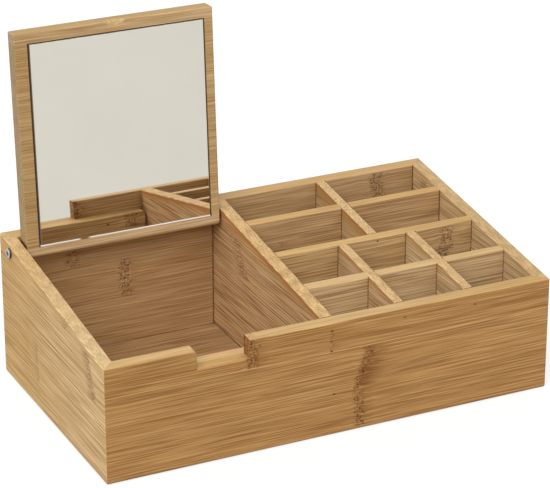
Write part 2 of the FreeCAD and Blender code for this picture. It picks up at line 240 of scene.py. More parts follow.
# strips and fibres; pairs are where a noise or a distance starts and ends its fade
grain = {
    "stripWidth": 26.0,
    "stripShift": 137.0,  # mm, so that the fibres don't run on into the next strip
    "stripSeed": 7.31,
    "sway": 1.4,  # mm that the fibres stray
    "knotBend": 3.6,  # mm that they turn aside at a knot
    "ribPitch": 2.0,
    "ribJitter": 3.0,
    "ribPatch": (-0.22, 0.10),
    "lines": (0.05, 0.15),
    "paleLines": (0.05, 0.18),
    "glueFade": 0.24,
    "glueTop": 1.0,
    "glueLight": (0.9, 0.35),  # mm from the glue line
    "glueDark": (0.7, 0.15),
    "jointCore": 0.35,
    "jointLevel": 0.85,
    "jointFacing": (0.3, 0.7),
    "leftFacing": (-0.5, -0.9),
    "insideFacing": (0.5, 0.9),
    "roughness": 0.46,
    "roughStreak": 0.30,
    "roughPit": 0.2,
    "sheen": 0.15,
    "bumpForce": 0.5,
    "bumpDepth": 0.10,
    "fineHeight": 0.8,
    "streakHeight": 0.8,
    "lineDepth": 0.25,
    "pitDepth": 1.2,
}

rimLook = {
    "facing": (0.72, 0.94),
    "knotsLost": 0.75,  # how much of a knot the cut takes away
    "levels": (0.79, 1.17),
    "ledge": (3.0, 1.0),
    "speckPatch": (-0.50, 0.05),
    "darkSpeck": (0.02, -0.20),
    "paleSpeck": (0.05, 0.22),
    "bandFacing": (0.8, 0.2),
    "bandStray": 1.0,
    "bandEdge": (2.4, 0.8),
    "bandEdgeForce": 0.7,
}

# a knot's sizes are shares of its width where nothing else is said
knotLook = {
    "wander": 7.0,  # mm
    "wanderSize": (60, 4, 60),
    "wanderSeed": 0.1,
    "ragged": 1.3,
    "raggedSize": (2.4, 2.0, 2.4),
    "raggedSeed": 0.17,
    "softEnd": 0.6,  # mm
    "core": 0.4,
    "smearStart": -1.2,
    "smearFull": 0.2,
    "bendReach": 4.0,
    "patch": (-0.18, 0.16),
    "tail": (-0.22, 0.08),
    "tearSize": (1.5, 1.1, 1.5),
    "tearSeed": 13,
    "tearRadius": 0.44,
    "tearPick": (0.4, 0.55),
    "pitSize": (1.9, 1.2, 1.9),
    "pitSeed": 12,
    "pitRadius": 0.56,
    "pitPick": (0.30, 0.40),
    "pitForce": 0.9,
    "blot": (0.06, 0.18),
    "blotForce": 0.8,
    "holeStretch": 0.7,
    "holeCore": 0.5,
    "holeForce": 0.95,
}

usualKnot = {"lean": 0.0, "tail": 7.0, "force": 1.0, "smear": 0.5, "pitted": 1.0, "haze": 0.85, "torn": 0.45}

noTint = (1, 1, 1, 1)
usualBoard = {
    "firstJoint": 0.0, "stripTone": 0.16, "glue": 0.2, "glueGaps": 0.16,
    "broad": 0.6, "streak": 1.1, "fine": 1.7, "thin": 1.0, "ribs": 0.12,
    "lines": 0.35, "crowd": 0.45, "paleLines": 0.2,
    "rimPale": 0.35, "specks": 0.0, "rimBand": 0.0, "bandWidth": 4.2, "bandSoft": 0.57,
    "span": (-140.0, 140.0), "tint": noTint, "floorTint": noTint,
    "pits": [],  # single ones: place along, place across, size
    "joints": [],  # face, axis, place, width, strength
}


def layer(wood, where, name, thin=1.0):
    length, width, depth, seed, detail = layers[name]
    sizes = (length, width * thin, depth * thin)
    return grainNoise(wood["tree"], wood[where], sizes, wood["board"]["seed"] + seed, detail)


# where a knot's pits, brown haze, torn fibres and smear lie, and how far the fibres bend round it
def knotMasks(wood, knot):
    tree, along, across, spot = (wood[name] for name in ("tree", "along", "across", "spot"))
    knot = {**usualKnot, **knot}
    seed, at, low, high, width = wood["board"]["seed"], knot["at"], knot["low"], knot["high"], knot["width"]
    core, softEnd = knotLook["core"] * width, knotLook["softEnd"]
    wander = grainNoise(tree, spot, knotLook["wanderSize"], seed + at * knotLook["wanderSeed"])
    line = add(tree, times(tree, wander, knotLook["wander"]), at - knot["lean"] * (low + high) / 2)
    line = add(tree, line, times(tree, across, knot["lean"]))
    offset = calc(tree, "SUBTRACT", along, line)
    away = calc(tree, "ABSOLUTE", offset)
    inside = times(tree, fade(tree, across, low - softEnd, low + softEnd),
                   fade(tree, across, high + softEnd, high - softEnd), knot["force"])
    ragged = grainNoise(tree, spot, knotLook["raggedSize"], seed + at * knotLook["raggedSeed"])
    ragged = times(tree, ragged, knotLook["ragged"] * width)
    band = times(tree, fade(tree, add(tree, away, ragged), width, core), inside)
    brown = times(tree, fade(tree, offset, knotLook["smearStart"] * width, knotLook["smearFull"] * width),
                  fade(tree, offset, knot["tail"] + width, core), inside, knot["smear"])
    bending = times(tree, fade(tree, away, knotLook["bendReach"] * width, 0.0), inside)
    pitted, haze, torn = (times(tree, band, knot[name]) for name in ("pitted", "haze", "torn"))
    return pitted, haze, torn, brown, bending


# the places that the grain is drawn by: straight ones, and ones that run with the fibres
def layOutWood(board, tree, place, normal):
    along, across = place[board["grain"]], place[board["across"]]
    deep = place[({"X", "Y", "Z"} - {board["grain"], board["across"]}).pop()]
    wood = {"tree": tree, "board": board, "place": place, "normal": normal, "along": along, "across": across}
    wood["spot"] = joined(tree, along, across, deep)
    wood["upward"] = fade(tree, normal["Z"], *rimLook["facing"])
    wood["far"] = fade(tree, along, *board["span"])

    masks = [knotMasks(wood, knot) for knot in board["knots"]]
    pitted, haze, torn, brown, bending = (most(tree, parts) for parts in zip(*masks))
    besideRim = calc(tree, "SUBTRACT", 1.0, times(tree, wood["upward"], rimLook["knotsLost"]))
    for name, mask in (("pitted", pitted), ("haze", haze), ("brown", brown)):
        wood[name] = times(tree, mask, besideRim)
    wood["torn"] = torn
    sway = times(tree, layer(wood, "spot", "sway"), grain["sway"])
    bend = times(tree, layer(wood, "spot", "knotBend"), grain["knotBend"], bending)
    wood["bent"] = add(tree, across, add(tree, sway, bend))

    # strips are glued edge to edge
    stripPlace = calc(tree, "DIVIDE", add(tree, across, -board["firstJoint"]), grain["stripWidth"])
    strip = calc(tree, "FLOOR", stripPlace)
    wood["inStrip"] = times(tree, calc(tree, "FRACT", stripPlace), grain["stripWidth"])
    stripNoise = addNode(tree, "ShaderNodeTexWhiteNoise", noise_dimensions="1D")
    stripSeed = board.get("stripSeed", board["seed"]) * grain["stripSeed"]
    plug(tree, stripNoise.inputs["W"], add(tree, strip, stripSeed))
    wood["stripTone"] = calc(tree, "SUBTRACT", stripNoise.outputs["Value"], 0.5)
    shifted = add(tree, along, times(tree, strip, grain["stripShift"]))
    wood["run"] = joined(tree, shifted, wood["bent"], deep)
    return wood


# streaks and ribs, then dark and pale fibre bundles, crowded in some places
def drawGrain(wood):
    tree, board, thin = wood["tree"], wood["board"], wood["board"]["thin"]
    wood["streak"] = layer(wood, "run", "streak", thin)
    wood["fine"] = layer(wood, "run", "fine", thin)
    tone = add(tree, times(tree, layer(wood, "run", "broad"), board["broad"]),
               times(tree, wood["streak"], board["streak"]))
    tone = add(tree, tone, times(tree, wood["fine"], board["fine"]))
    jitter = times(tree, layer(wood, "run", "ribJitter"), grain["ribJitter"])
    ribs = calc(tree, "SINE", times(tree, add(tree, wood["bent"], jitter), 2 * math.pi / grain["ribPitch"]))
    ribPatch = fade(tree, layer(wood, "run", "ribPatch"), *grain["ribPatch"])
    tone = add(tree, tone, times(tree, ribs, ribPatch, board["ribs"]))
    tone = add(tree, tone, times(tree, wood["stripTone"], board["stripTone"]))
    wood["tone"] = calc(tree, "ADD", tone, 0.5, clamp=True)
    colour = mixColour(tree, wood["tone"], bamboo["dark"], bamboo["pale"])

    crowd = times(tree, layer(wood, "run", "crowd"), board["crowd"])
    bundles = add(tree, layer(wood, "run", "bundle", thin), crowd)
    wood["lines"] = fade(tree, bundles, *grain["lines"])
    colour = mixColour(tree, times(tree, wood["lines"], board["lines"]), colour, bamboo["line"])
    paleFibres = fade(tree, layer(wood, "run", "paleBundle", thin), *grain["paleLines"])
    return mixColour(tree, times(tree, paleFibres, board["paleLines"]), colour, bamboo["fibre"])


# glue lines between the strips, plain in some places and gone in others
def drawGlue(wood, colour):
    tree, board, inStrip = wood["tree"], wood["board"], wood["inStrip"]
    gaps, width = board["glueGaps"], grain["stripWidth"]
    shown = times(tree, fade(tree, layer(wood, "run", "glue"), gaps - grain["glueFade"], gaps), board["glue"])
    if "glueAbove" in board:
        lowest, soft = board["glueAbove"], grain["glueTop"]
        shown = times(tree, shown, fade(tree, wood["across"], lowest - soft, lowest + soft))
    light = times(tree, fade(tree, inStrip, *grain["glueLight"]), shown)
    colour = mixColour(tree, light, colour, bamboo["fleck"])
    dark = times(tree, fade(tree, inStrip, *(width - gap for gap in grain["glueDark"])), shown)
    return mixColour(tree, dark, colour, bamboo["line"])


# the cut rim: smooth and pale, or flecked where the cut runs across the fibres; its paleness is partly the
# cut wood and partly painted sheen
def drawRim(wood, colour):
    tree, board, upward = wood["tree"], wood["board"], wood["upward"]
    shades = [[part * level for part in board["rimColour"][:3]] + [1] for level in rimLook["levels"]]
    rim = mixColour(tree, wood["tone"], *shades)
    if "rimEnds" in board:
        rimFar = fade(tree, wood["along"], *board["rimSpan"])
        rim = mixColour(tree, 1.0, rim, mixColour(tree, rimFar, *board["rimEnds"]), "MULTIPLY")
    colour = mixColour(tree, times(tree, upward, board["rimPale"]), colour, rim)
    if "ledge" in board:
        nearLedge = fade(tree, wood["place"]["Z"], *(board["ledge"] + gap for gap in rimLook["ledge"]))
        colour = tinted(tree, times(tree, upward, nearLedge), colour, board["ledgeTint"])
    speck = layer(wood, "spot", "speck")
    speckForce = fade(tree, layer(wood, "spot", "speckPatch"), *rimLook["speckPatch"])
    speckForce = times(tree, speckForce, board["specks"])
    for span, flake in (("darkSpeck", "smear"), ("paleSpeck", "fleck")):
        mask = times(tree, fade(tree, speck, *rimLook[span]), speckForce, upward)
        colour = mixColour(tree, mask, colour, bamboo[flake])
    return colour


# rust-brown band just under a sloping rim
def drawRimBand(wood, colour):
    tree, board = wood["tree"], wood["board"]
    stray = times(tree, layer(wood, "spot", "band"), rimLook["bandStray"])
    below = add(tree, belowRim(tree, wood["place"]), stray)
    side = times(tree, fade(tree, wood["normal"]["Z"], *rimLook["bandFacing"]), board["rimBand"])
    band = fade(tree, below, board["bandWidth"], board["bandWidth"] * board["bandSoft"])
    colour = mixColour(tree, times(tree, band, side), colour, bamboo["rust"])
    edge = times(tree, fade(tree, below, *rimLook["bandEdge"]), side, rimLook["bandEdgeForce"])
    return mixColour(tree, edge, colour, bamboo["rustEdge"])


# pits, brown smears and pale torn fibres of the knots, then single pits
def drawKnots(wood, colour):
    tree, board, spot = wood["tree"], wood["board"], wood["spot"]
    patch = fade(tree, layer(wood, "run", "knotPatch"), *knotLook["patch"])
    tailFibres = fade(tree, layer(wood, "run", "knotTail"), *knotLook["tail"])
    haze = most(tree, [times(tree, wood["haze"], patch), times(tree, wood["brown"], tailFibres)])
    colour = mixColour(tree, haze, colour, bamboo["smear"])
    tear, pick = spots(tree, spot, knotLook["tearSize"], board["seed"] + knotLook["tearSeed"],
                       knotLook["tearRadius"])
    tears = times(tree, tear, wood["torn"], fade(tree, pick, *knotLook["tearPick"]))
    colour = mixColour(tree, tears, colour, bamboo["fleck"])
    pit, pick = spots(tree, spot, knotLook["pitSize"], board["seed"] + knotLook["pitSeed"],
                      knotLook["pitRadius"])
    pits = times(tree, pit, wood["pitted"], fade(tree, pick, *knotLook["pitPick"]))
    blot = fade(tree, layer(wood, "spot", "blot"), *knotLook["blot"])
    wood["pits"] = most(tree, [pits, times(tree, blot, wood["pitted"], knotLook["blotForce"])])
    colour = mixColour(tree, times(tree, wood["pits"], knotLook["pitForce"]), colour, bamboo["dot"])

    for at, height, size in board["pits"]:
        sideways = times(tree, add(tree, wood["along"], -at), knotLook["holeStretch"])
        away = vectorCalc(tree, "LENGTH", joined(tree, sideways, add(tree, wood["across"], -height)))
        hole = times(tree, fade(tree, away, size, size * knotLook["holeCore"]), knotLook["holeForce"])
        colour = mixColour(tree, hole, colour, bamboo["dot"])
    return colour


# dark joints where another board stands against this one: glue lines with painted shade in the corner
def drawJoints(wood, colour):
    tree = wood["tree"]
    breakUp = add(tree, layer(wood, "spot", "joint"), grain["jointLevel"])
    offRim = calc(tree, "SUBTRACT", 1.0, wood["upward"])
    for face, axis, at, width, strength in wood["board"]["joints"]:
        distance = apart(tree, wood["place"][axis], at)
        mark = times(tree, fade(tree, distance, width, width * grain["jointCore"]), strength, offRim)
        if face in ("front", "back"):
            outward = times(tree, wood["normal"]["Y"], -1.0 if face == "front" else 1.0)
            mark = times(tree, mark, fade(tree, outward, *grain["jointFacing"]))
        colour = mixColour(tree, times(tree, mark, breakUp), colour, bamboo["glueAndShade"])
    return colour


# the faces differ a little in tone from board to board; the tints by which way a face looks and along each
# board are also painted light and shade, with painted sheen on faces seen at a slant
def drawTints(wood, colour):
    tree, board, far, normal = wood["tree"], wood["board"], wood["far"], wood["normal"]
    tint = board["tint"]
    if "farTint" in board:
        tint = mixColour(tree, far, tint, board["farTint"])
    if "leftTint" in board:
        leftTint = mixColour(tree, far, board["leftTint"], board.get("leftFarTint", board["leftTint"]))
        tint = mixColour(tree, fade(tree, normal["X"], *grain["leftFacing"]), tint, leftTint)
    if "insideTint" in board:
        insideFar = board.get("insideFarTint", board["insideTint"])
        insideTint = mixColour(tree, far, board["insideTint"], insideFar)
        tint = mixColour(tree, fade(tree, normal["Y"], *grain["insideFacing"]), tint, insideTint)
    tint = mixColour(tree, wood["upward"], tint, board["floorTint"])
    return mixColour(tree, 1.0, colour, tint, "MULTIPLY")


def bambooFinish(board):
    board = {**usualBoard, **board}
    finish, tree, shader, place, normal = newFinish(board["node"] + "_bamboo")
    wood = layOutWood(board, tree, place, normal)
    colour = drawGrain(wood)
    for draw in (drawGlue, drawRim, drawRimBand, drawKnots, drawJoints, drawTints):
        colour = draw(wood, colour)
    tree.links.new(colour, shader.inputs["Base Color"])
    rough = add(tree, times(tree, wood["streak"], grain["roughStreak"]), grain["roughness"])
    rough = add(tree, rough, times(tree, wood["pits"], grain["roughPit"]))
    tree.links.new(rough, shader.inputs["Roughness"])
    shader.inputs["Specular IOR Level"].default_value = grain["sheen"]
    raised = add(tree, times(tree, wood["fine"], grain["fineHeight"]),
                 times(tree, wood["streak"], grain["streakHeight"]))
    sunk = add(tree, times(tree, wood["lines"], grain["lineDepth"]),
               times(tree, wood["pits"], grain["pitDepth"]))
    addBump(tree, shader, calc(tree, "SUBTRACT", raised, sunk), grain["bumpForce"], grain["bumpDepth"])
    print("bamboo for", board["node"], len(tree.nodes), "nodes")
    return finish, tree, shader, place, normal


def dressBoard(board):
    dress(board["node"], bambooFinish(board)[0])


smoothRim = (0.520, 0.335, 0.122, 1)
paleRim = (0.600, 0.395, 0.165, 1)
fleckedRim = (0.590, 0.400, 0.175, 1)

frontPanel = {
    "node": "front_panel", "grain": "X", "across": "Z", "seed": 1.0,
    "stripSeed": 40.5, "stripTone": 0.20, "glue": 0.65, "glueAbove": 40.0, "glueGaps": 0.0,
    "lines": 0.42, "crowd": 0.25, "broad": 0.55, "streak": 1.25, "fine": 1.9,
    "rimColour": (0.584, 0.376, 0.137, 1), "rimPale": 0.75,
    "rimSpan": (0.0, 140.0), "rimEnds": ((0.95, 0.98, 1.15, 1), (0.765, 0.75, 0.73, 1)),
    "ledge": 59.0, "ledgeTint": (0.89, 0.80, 0.63, 1),  # floor of the finger notch
    "knots": [
        {"at": 18.5, "low": 26.5, "high": 51.5, "width": 4.0, "lean": 0.26, "smear": 1.0, "tail": 14.0},
        {"at": 15.6, "low": 2.5, "high": 25.0, "width": 4.4, "lean": -0.07, "haze": 0.6},
        {"at": -2.1, "low": 51.5, "high": 66.5, "width": 1.3, "force": 0.4},
        {"at": -51.5, "low": 53.0, "high": 72.0, "width": 5.0},
    ],
    "pits": [(44.2, 64.8, 0.65), (90.0, 63.9, 0.65), (-0.5, 25.8, 0.75), (-2.0, 65.4, 0.7),
             (-2.5, 58.9, 0.65), (-2.2, 52.9, 0.65)],
    "tint": (0.975, 0.94, 0.84, 1), "farTint": (1.03, 0.995, 0.90, 1),
    # inside tints: painted light on the inner face from the glass facing it, and painted shade towards the
    # tray end
    "insideTint": (1.04, 1.25, 1.65, 1), "insideFarTint": (0.78, 0.87, 1.08, 1),
    "leftTint": (0.99, 0.94, 0.875, 1),
}
dressBoard(frontPanel)

palerKnot = {"haze": 0.45, "smear": 0.2, "pitted": 0.8, "torn": 0.7}
backPanel = {
    "node": "back_panel", "grain": "X", "across": "Z", "seed": 2.0,
    "firstJoint": 12.0, "lines": 0.22, "crowd": 0.3, "broad": 0.4, "streak": 0.65,
    "rimColour": smoothRim, "rimPale": 0.7,
    "rimSpan": (-20.0, 20.0), "rimEnds": ((1.03, 1.03, 1.07, 1), (0.95, 0.95, 1.03, 1)),
    "span": (-20.0, 20.0), "tint": (1.00, 1.12, 1.41, 1), "farTint": (1.055, 1.20, 1.53, 1),
    "knots": [
        {"at": -64.0, "low": 37.5, "high": 62.5, "width": 5.2, **palerKnot},
        {"at": -97.5, "low": 63.0, "high": 73.0, "width": 5.6, "force": 0.9, **palerKnot},
        {"at": 106.5, "low": 68.0, "high": 88.0, "width": 6.0, "haze": 0.55, "smear": 0.2},
        {"at": 38.0, "low": 12.0, "high": 38.0, "width": 4.4},
    ],
    "joints": [("front", "X", box["bayEnd"], 1.3, 0.9), ("front", "X", box["rightWall"], 1.1, 0.95),
               ("front", "Z", box["floorTop"], 0.7, 0.6)]
              + [("front", "X", at, 0.9, 0.85) for at in box["backLong"]],
}
dressBoard(backPanel)

leftSide = {
    "node": "left_side_panel", "grain": "Y", "across": "Z", "seed": 3.0,
    "firstJoint": 18.0, "lines": 0.50, "crowd": 0.12, "broad": 0.35, "streak": 0.85, "fine": 1.9,
    "thin": 0.85, "ribs": 0.28, "paleLines": 0.45,
    "rimColour": (0.695, 0.513, 0.250, 1), "rimPale": 0.7, "specks": 0.34,
    "rimSpan": (-80.0, 80.0), "rimEnds": ((0.915, 0.925, 0.99, 1), (0.88, 0.83, 0.79, 1)),
    "span": (-80.0, 80.0), "tint": (1.52, 1.80, 2.18, 1), "farTint": (1.37, 1.49, 1.40, 1),
    "knots": [
        {"at": -60.0, "low": 44.0, "high": 70.0, "width": 4.2, "lean": 0.32,
         "smear": 0.6, "haze": 0.55, "pitted": 0.6},
        {"at": -23.0, "low": 70.5, "high": 78.0, "width": 3.0,
         "smear": 0.3, "haze": 0.5, "pitted": 0.5, "torn": 0.9},
        {"at": 24.0, "low": 18.0, "high": 43.0, "width": 2.4, "force": 0.4},
    ],
}
dressBoard(leftSide)

rightSide = {
    "node": "right_side_panel", "grain": "Y", "across": "Z", "seed": 4.0,
    "firstJoint": 14.0, "lines": 0.60, "crowd": 0.25, "streak": 1.5, "ribs": 0.25,
    "rimColour": (0.490, 0.348, 0.161, 1), "rimPale": 0.7, "specks": 0.34, "rimBand": 0.25,
    "span": (-80.0, 80.0), "tint": (1.10, 1.25, 1.50, 1),
    "leftTint": (1.16, 1.45, 2.02, 1), "leftFarTint": (1.46, 1.85, 2.60, 1),
    "knots": [
        {"at": 58.0, "low": 78.0, "high": 83.0, "width": 4.0, "force": 0.8},
        {"at": -20.0, "low": 14.0, "high": 40.0, "width": 3.6, "force": 0.8},
    ],
}
dressBoard(rightSide)

basePanel = {
    "node": "base_panel", "grain": "X", "across": "Y", "seed": 5.0,
    "firstJoint": 7.0, "lines": 0.75, "streak": 1.5, "fine": 2.2, "rimColour": smoothRim, "rimPale": 0.0,
    "floorTint": (0.85, 0.93, 1.14, 1),
    "knots": [{"at": 60.0, "low": -40.0, "high": -16.0, "width": 4.0}],
    "joints": [("both", "X", box["bayEnd"], 2.0, 0.9)],
}
dressBoard(basePanel)

midPartition = {
    "node": "mid_partition", "grain": "Y", "across": "Z", "seed": 6.0,
    "firstJoint": 22.0, "lines": 0.85, "crowd": 0.12, "broad": 0.25, "fine": 2.0, "thin": 0.95,
    "ribs": 0.45, "paleLines": 0.45, "rimColour": fleckedRim, "rimPale": 0.6, "specks": 0.50,
    "rimBand": 0.85, "bandWidth": 6.5, "bandSoft": 0.12, "tint": (1.14, 1.28, 1.63, 1),
    "knots": [{"at": 33.0, "low": 56.0, "high": 77.0, "width": 6.5, "lean": 0.7,
               "haze": 0.25, "torn": 1.0, "pitted": 0.55}],
    "joints": [("both", "Z", box["floorTop"], 1.6, 0.95)],
}
dressBoard(midPartition)

# the cross dividers of the tray, from the back to the front; their back faces get painted shade
backFaceShade = (0.78, 0.86, 1.06, 1)
traySpan = (box["trayStart"], box["rightWall"])

crossBack = {
    "node": "cross_divider_back", "grain": "X", "across": "Z", "seed": 7.0,
    "firstJoint": 20.0, "lines": 0.55, "crowd": 0.3, "thin": 0.9,
    "rimColour": (0.505, 0.315, 0.108, 1), "rimPale": 0.7,
    "span": traySpan, "tint": (1.08, 1.21, 1.47, 1), "farTint": (1.165, 1.30, 1.63, 1),
    "insideTint": backFaceShade,
    "knots": [{"at": 24.0, "low": 40.0, "high": 70.0, "width": 4.0, "force": 0.4}],
    "joints": [("both", "X", box["rightWall"], 1.1, 0.95)]
              + [("both", "X", at, 0.9, 0.85) for at in box["backLong"]],
}
dressBoard(crossBack)

crossMiddle = {
    "node": "cross_divider_middle", "grain": "X", "across": "Z", "seed": 8.0,
    "firstJoint": 16.0, "lines": 0.55, "crowd": 0.3, "thin": 0.9, "rimColour": smoothRim, "rimPale": 0.7,
    "span": traySpan, "tint": (1.19, 1.38, 1.65, 1), "farTint": (1.27, 1.50, 1.89, 1),
    "insideTint": backFaceShade,
    "knots": [{"at": 113.5, "low": 57.0, "high": 78.5, "width": 6.4, "haze": 0.6, "smear": 0.2}],
    "pits": [(67.4, 77.7, 0.7)],
    "joints": [("both", "X", box["rightWall"], 1.0, 0.85)]
              + [("front", "X", at, 1.0, 0.85) for at in box["frontLongs"]]
              + [("back", "X", at, 1.0, 0.85) for at in box["backLong"]],
}
dressBoard(crossMiddle)

crossFront = {
    "node": "cross_divider_front", "grain": "X", "across": "Z", "seed": 9.0,
    "firstJoint": 10.0, "lines": 0.60, "crowd": 0.3, "thin": 0.9,
    "rimColour": (0.585, 0.403, 0.180, 1), "rimPale": 0.7,
    "span": traySpan, "tint": (1.41, 1.75, 2.39, 1), "farTint": (1.32, 1.63, 2.25, 1),
    "insideTint": backFaceShade,
    "knots": [{"at": 20.0, "low": 10.0, "high": 36.0, "width": 4.0, "force": 0.5}],
    "joints": [("both", "X", at, 1.0, 0.75) for at in (box["rightWall"],) + box["frontLongs"]],
}
dressBoard(crossFront)

# the long dividers, which run over the cross ones
longBack = {
    "node": "long_divider_back", "grain": "Y", "across": "Z", "seed": 10.0,
    "firstJoint": 21.0, "lines": 0.60, "thin": 0.75, "ribs": 0.2,
    "rimColour": (0.634, 0.461, 0.224, 1), "rimPale": 0.7,
    "specks": 0.85, "rimBand": 0.7, "bandWidth": 8.0,
    "tint": (1.15, 1.32, 1.65, 1), "leftTint": (1.13, 1.32, 1.70, 1),
    "knots": [{"at": 20.0, "low": 21.0, "high": 47.0, "width": 3.6, "force": 0.6}],
}
dressBoard(longBack)

longFrontLeft = {
    "node": "long_divider_front_left", "grain": "Y", "across": "Z", "seed": 11.0,
    "firstJoint": 17.0, "lines": 0.75, "crowd": 0.25, "streak": 1.3, "ribs": 0.3,
    "rimColour": (0.575, 0.402, 0.190, 1), "rimPale": 0.7, "specks": 0.60, "rimBand": 0.6,
    "tint": (1.15, 1.32, 1.65, 1), "leftTint": (1.22, 1.45, 1.98, 1),
    "knots": [{"at": -60.0, "low": 17.0, "high": 43.0, "width": 3.6, "force": 0.6}],
}
dressBoard(longFrontLeft)

longFrontRight = dict(longFrontLeft, **{
    "node": "long_divider_front_right", "seed": 12.0, "firstJoint": 24.0, "rimBand": 0.4,
    "span": (-72.0, 0.0), "leftTint": (1.24, 1.55, 2.20, 1), "leftFarTint": (1.36, 1.74, 2.42, 1),
    "knots": [{"at": -30.0, "low": 24.0, "high": 50.0, "width": 3.6, "force": 0.6}],
})
dressBoard(longFrontRight)

restStrip = {
    "node": "lid_rest_strip", "grain": "X", "across": "Z", "seed": 13.0,
    "firstJoint": 36.0, "lines": 0.50, "streak": 1.4, "glue": 0.0, "rimColour": paleRim, "rimPale": 0.7,
    "knots": [{"at": -17.0, "low": 50.0, "high": 59.5, "width": 6.0}],
    "pits": [(-33.3, 54.0, 0.8)],
    "insideTint": (1.18, 1.44, 1.86, 1),
}
dressBoard(restStrip)

# the lid, turned open about the two screws
hinge = Vector(frame["joints"][0]["pos_m"]) / mm
lidLean = math.radians(3.5)  # behind upright
lidUp = Vector((0, math.sin(lidLean), math.cos(lidLean)))
lidBack = Vector((0, math.cos(lidLean), -math.sin(lidLean)))

lidPanel = {
    "node": "lid_panel", "grain": "X", "across": "Z", "seed": 14.0,
    "firstJoint": 78.0, "lines": 0.30, "crowd": 0.3, "broad": 0.5, "streak": 0.8,
    "rimColour": smoothRim, "rimPale": 0.4,
    "span": (-131.0, -8.0), "tint": (0.94, 1.07, 1.20, 1), "farTint": (1.07, 1.25, 1.50, 1),
    "leftTint": (0.91, 1.12, 1.48, 1),
    "knots": [
        {"at": -100.0, "low": 104.0, "high": 130.0, "width": 4.0},
        {"at": -30.0, "low": 156.0, "high": 181.0, "width": 4.0, "force": 0.7},
    ],
}

# what the lid has besides; heights are above the hinge
lidExtras = {
    "gap": (-1.2, -0.2), "gapShade": 0.9,
    "scoopMiddle": -69.5, "scoopBack": -9.125, "scoopHeight": 139.55, "scoopRadius": 11.795,
    "scoopEdge": (0.35, 0.15), "scoopGrain": (1.6, 0.8, 0.8), "scoopSeed": 31.0, "scoopTorn": (-0.12, 0.16),
    "scoopDark": (0.420, 0.270, 0.107, 1), "scoopPale": (0.565, 0.385, 0.172, 1),
    "foot": (4.0, 0.5), "footLight": (1.20, 1.28, 1.53, 1),
    "rail": (121.0, 127.0), "railTint": (1.07, 1.09, 1.20, 1),
    "topFacing": (0.80, 0.96), "topTint": (0.75, 0.77, 0.62, 1),
}


def dressLid(board, extras):
    finish, tree, shader, place, normal = bambooFinish(board)
    colour = shader.inputs["Base Color"].links[0].from_socket
    # the scoop is cut across the fibres, so it is torn
    ball = hinge + lidBack * extras["scoopBack"] + lidUp * extras["scoopHeight"]
    fromBall = vectorCalc(tree, "DISTANCE", place["all"], (extras["scoopMiddle"], ball.y, ball.z))
    onScoop = fade(tree, apart(tree, fromBall, extras["scoopRadius"]), *extras["scoopEdge"])
    torn = grainNoise(tree, place["all"], extras["scoopGrain"], extras["scoopSeed"])
    torn = fade(tree, torn, *extras["scoopTorn"])
    scoop = mixColour(tree, torn, extras["scoopDark"], extras["scoopPale"])
    colour = mixColour(tree, onScoop, colour, scoop)
    # painted light on the shoulder under the glass, against the box's shade; the rail over it is a little
    # paler, its top face darker
    climb = add(tree, vectorCalc(tree, "DOT_PRODUCT", place["all"], lidUp), -hinge.dot(lidUp))
    onRail = fade(tree, climb, *extras["rail"])
    onTop = times(tree, onRail, fade(tree, normal["Z"], *extras["topFacing"]))
    onFoot = fade(tree, climb, *extras["foot"])
    for mask, name in ((onFoot, "footLight"), (onRail, "railTint"), (onTop, "topTint")):
        colour = tinted(tree, mask, colour, extras[name])
    # painted shade in the gap beside the left side, below its rim
    sunk = fade(tree, belowRim(tree, place), *extras["gap"])
    inGap = times(tree, sunk, fade(tree, normal["X"], *grain["leftFacing"]), extras["gapShade"])
    colour = mixColour(tree, inGap, colour, bamboo["glueAndShade"])
    tree.links.new(colour, shader.inputs["Base Color"])
    dress(board["node"], finish)


dressLid(lidPanel, lidExtras)

# the glass, silvered behind, with frosted edges: the lower one whitish, painted shade along the others
glass = {
    "node": "lid_mirror",
    "colour": (0.900, 0.875, 0.815, 1),
    "dust": (0.875, 0.847, 0.782, 1),
    "seam": (0.930, 0.920, 0.890, 1),
    "edgeShade": (0.170, 0.140, 0.100, 1),  # painted shade along the other sides, where the gap beside the glass is dark
    "foot": 1.9, "height": 122.0,
    "seamWidth": 0.35, "seamCore": 0.6, "seamForce": 0.6,
    "footSeam": 1.4, "footCore": 0.7,  # the lower edge catches the light
    "chipMiddle": -94.8, "chipSpan": (1.2, 4.2),  # where it is chipped
    "chipGrain": (5, 5, 5), "chipSeed": 41.0, "chipStray": 4.0, "seamStray": 0.5,
    "slant": (0.10, 0.35),
    "dustGrain": (45, 45, 45), "dustSeed": 42.0, "dustDetail": 4.0, "dustSpan": (-0.2, 0.2),
    "roughness": 0.008, "dustRough": 0.012, "seamRough": 0.45,
}


